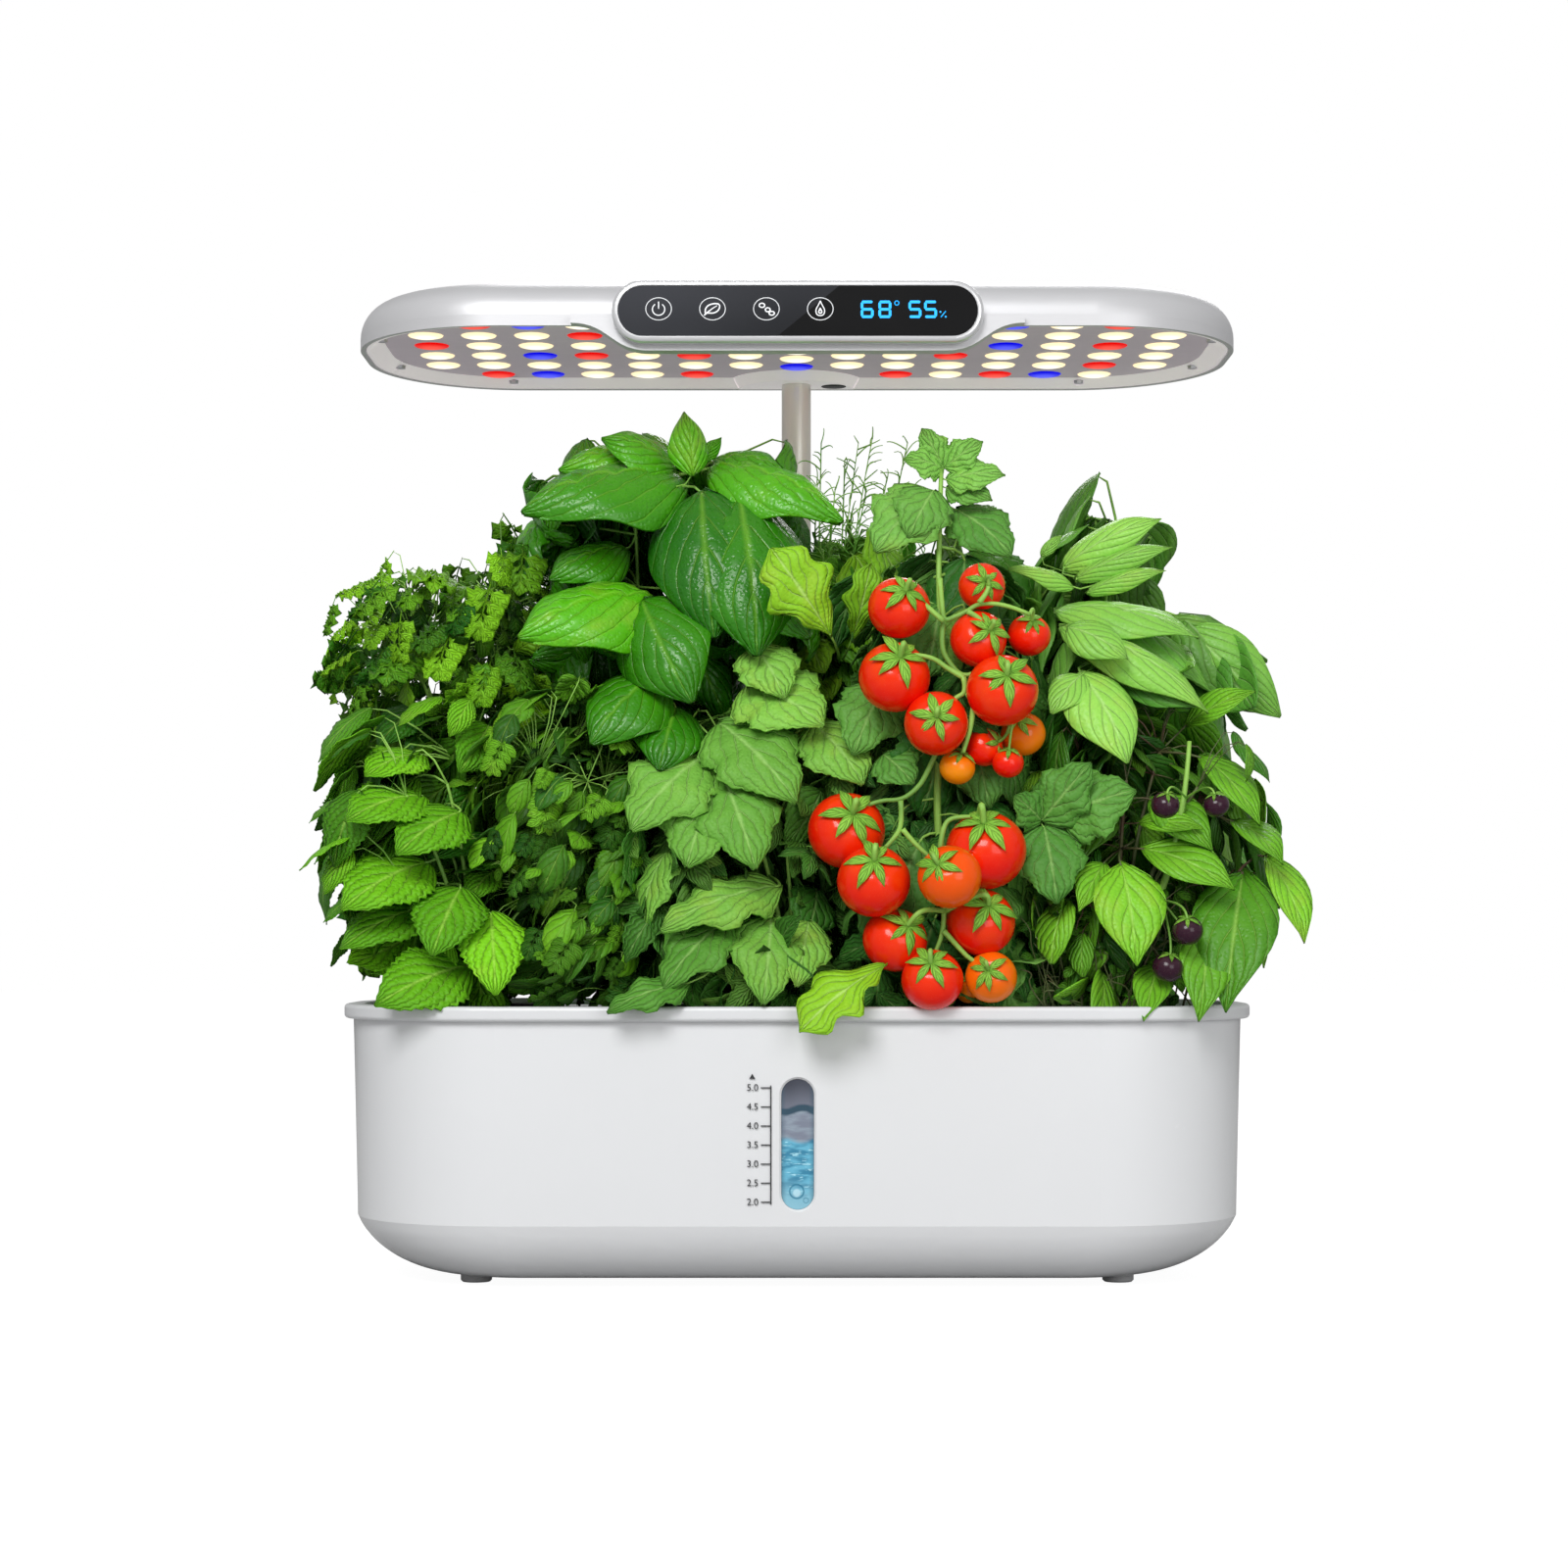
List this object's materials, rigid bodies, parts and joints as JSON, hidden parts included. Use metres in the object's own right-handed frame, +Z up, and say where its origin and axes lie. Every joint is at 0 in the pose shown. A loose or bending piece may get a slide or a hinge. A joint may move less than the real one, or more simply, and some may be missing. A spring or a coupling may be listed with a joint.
{
  "type": "countertop hydroponic garden",
  "caption": "Countertop hydroponic garden: oblong white water tank with level window, lift-out planted deck, telescoping mast and wide grow lamp with touch panel.",
  "frame": {"origin": "on the surface the four feet stand on, under the middle of the whole object", "axes": "+X right along the tank seen from the front, -Y front with the control panel and water window, +Z up"},
  "size_m": [0.432, 0.2299, 0.44],
  "materials": {
    "tank_white": "satin",
    "deck_white": "satin",
    "window_clear": "polished",
    "seal_grey": "matte",
    "foot_rubber": "matte",
    "pump_black": "matte",
    "pump_blue": "matte",
    "shaft_ceramic": "satin",
    "filter_foam": "matte",
    "basket_black": "matte",
    "sponge_brown": "matte",
    "mast_metal": "satin",
    "fitting_grey": "matte",
    "hood_silver": "satin",
    "frame_white": "matte",
    "board_grey": "matte",
    "led_white": "gloss",
    "led_red": "gloss",
    "led_blue": "gloss",
    "screw_steel": "satin",
    "jack_black": "matte",
    "pod_silver": "gloss",
    "panel_black": "polished",
    "circuit_green": "matte",
    "float_white": "matte",
    "leaf_green": "satin",
    "tomato_red": "gloss",
    "pepper_purple": "gloss"
  },
  "bodies": {
    "tank": {"tank_shell": "tank_white", "window_lens": "window_clear", "window_gasket": "seal_grey", "tank_feet": "foot_rubber", "pump_housing": "pump_black", "pump_shaft": "shaft_ceramic", "volute_cover": "pump_black", "intake_cover": "pump_black", "intake_filter": "filter_foam", "suction_cups": "seal_grey", "outlet_nozzle": "pump_black"},
    "rotor": {"pump_rotor": "pump_blue"},
    "deck": {"deck_tray": "deck_white", "basket_01": "basket_black", "basket_02": "basket_black", "basket_03": "basket_black", "basket_04": "basket_black", "basket_05": "basket_black", "basket_06": "basket_black", "basket_07": "basket_black", "basket_08": "basket_black", "basket_09": "basket_black", "basket_10": "basket_black", "grow_sponges": "sponge_brown", "mast_tube_outer": "mast_metal", "mast_nut": "fitting_grey", "mast_bush": "fitting_grey", "sensor_rod": "fitting_grey", "sensor_clip": "fitting_grey", "plant_mint": "leaf_green", "plant_thyme": "leaf_green", "plant_strawberry": "leaf_green", "plant_tomato": "leaf_green", "plant_pepper": "leaf_green", "plant_parsley": "leaf_green", "plant_basil": "leaf_green", "plant_lettuce": "leaf_green", "plant_rocket": "leaf_green", "plant_broad_basil": "leaf_green", "tomatoes": "tomato_red", "peppers": "pepper_purple"},
    "float": {"level_float": "float_white"},
    "lamp": {"mast_tube_inner": "mast_metal", "mast_slider": "fitting_grey", "lamp_hood": "hood_silver", "light_frame": "frame_white", "light_board": "board_grey", "leds_white": "led_white", "leds_red": "led_red", "leds_blue": "led_blue", "lamp_screws": "screw_steel", "mast_boss": "frame_white", "power_jack": "jack_black", "panel_pod": "pod_silver", "panel_glass": "panel_black", "touch_board": "circuit_green", "display_module": "jack_black"}
  },
  "joints": [
    {"name": "deck_lift", "type": "slide", "parent": "tank", "child": "deck", "axis": [0, 0, 1], "range_m": [0, 0.09]},
    {"name": "lamp_height", "type": "slide", "parent": "deck", "child": "lamp", "axis": [0, 0, 1], "range_m": [0, 0.075]},
    {"name": "float_rise", "type": "slide", "parent": "deck", "child": "float", "axis": [0, 0, 1], "range_m": [0, 0.013]},
    {"name": "rotor_spin", "type": "hinge", "parent": "tank", "child": "rotor", "pos_m": [0.125, 0, 0.023], "axis": [1, 0, 0], "continuous": true}
  ]
}
